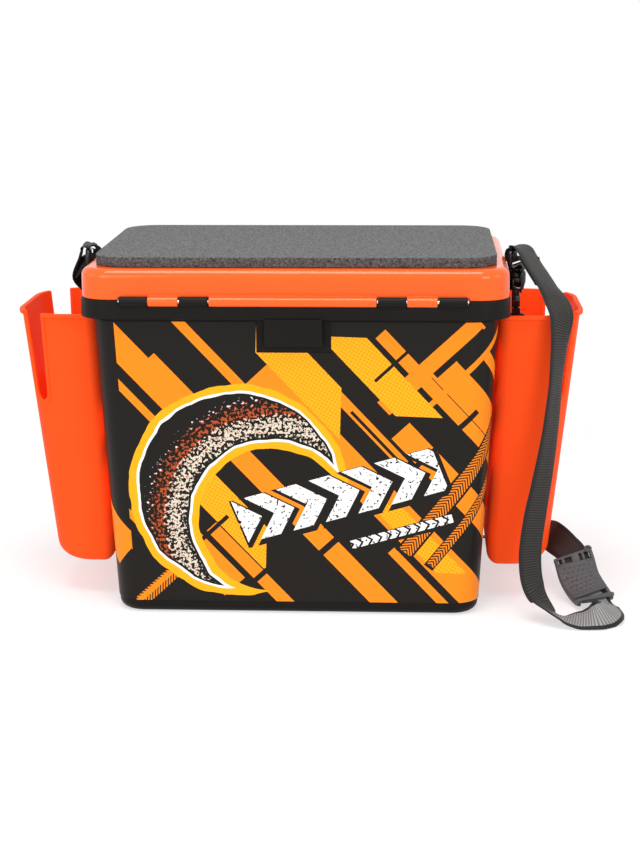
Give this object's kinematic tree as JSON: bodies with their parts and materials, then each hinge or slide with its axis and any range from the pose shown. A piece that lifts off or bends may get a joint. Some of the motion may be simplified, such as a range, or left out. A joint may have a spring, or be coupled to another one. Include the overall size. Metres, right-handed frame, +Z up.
{
  "type": "fishing seat box",
  "caption": "Moulded plastic seat box with a hinged foam-topped lid, side pockets with rod slots and a webbing shoulder strap on snap hooks.",
  "frame": {"origin": "on the floor, under the middle of the tub's base", "axes": "+X to the right as seen from the hinge side, +Y from the hinge side towards the latch side, +Z up"},
  "size_m": [0.5646, 0.3099, 0.3331],
  "materials": {
    "body_black": "satin",
    "print": "printed film, satin",
    "lid_orange": "semi-gloss",
    "pocket_orange": "semi-gloss",
    "foam": "closed-cell foam, matt",
    "steel": "bright",
    "webbing": "ribbed weave",
    "slider_grey": "satin",
    "hook_black": "satin"
  },
  "bodies": {
    "tub": {"tub_body": "body_black", "front_print_film": "print", "rear_print_film": "print", "shoulder_strap": "webbing", "strap_slider": "slider_grey", "hinge_pin_left": "steel", "pocket_left": "pocket_orange", "snap_hook_left": "hook_black", "gate_pin_left": "steel", "gate_spring_left": "steel", "strap_eye_left": "hook_black", "pocket_screw_left_front": "steel", "pocket_screw_left_rear": "steel", "pocket_screw_left_lower": "steel", "hinge_pin_right": "steel", "pocket_right": "pocket_orange", "snap_hook_right": "hook_black", "gate_pin_right": "steel", "gate_spring_right": "steel", "strap_eye_right": "hook_black", "pocket_screw_right_front": "steel", "pocket_screw_right_rear": "steel", "pocket_screw_right_lower": "steel"},
    "lid": {"lid_shell": "lid_orange", "seat_pad": "foam", "latch_pin": "steel"},
    "latch": {"latch_lever": "body_black"},
    "gate_left": {"hook_gate_left": "hook_black"},
    "gate_right": {"hook_gate_right": "hook_black"}
  },
  "joints": [
    {"name": "lid_hinge", "type": "hinge", "parent": "tub", "child": "lid", "pos_m": [0, -0.132, 0.2955], "axis": [1, 0, 0], "range_deg": [0, 105]},
    {"name": "latch_hinge", "type": "hinge", "parent": "lid", "child": "latch", "pos_m": [0, 0.1322, 0.3052], "axis": [1, 0, 0], "range_deg": [0, 110]},
    {"name": "gate_hinge_left", "type": "hinge", "parent": "tub", "child": "gate_left", "pos_m": [-0.203, 0.011, 0.28983], "axis": [-1, 0, 0], "range_deg": [0, 30], "stiffness_Nm_per_rad": 0.02},
    {"name": "gate_hinge_right", "type": "hinge", "parent": "tub", "child": "gate_right", "pos_m": [0.203, -0.011, 0.28983], "axis": [1, 0, 0], "range_deg": [0, 30], "stiffness_Nm_per_rad": 0.02}
  ]
}
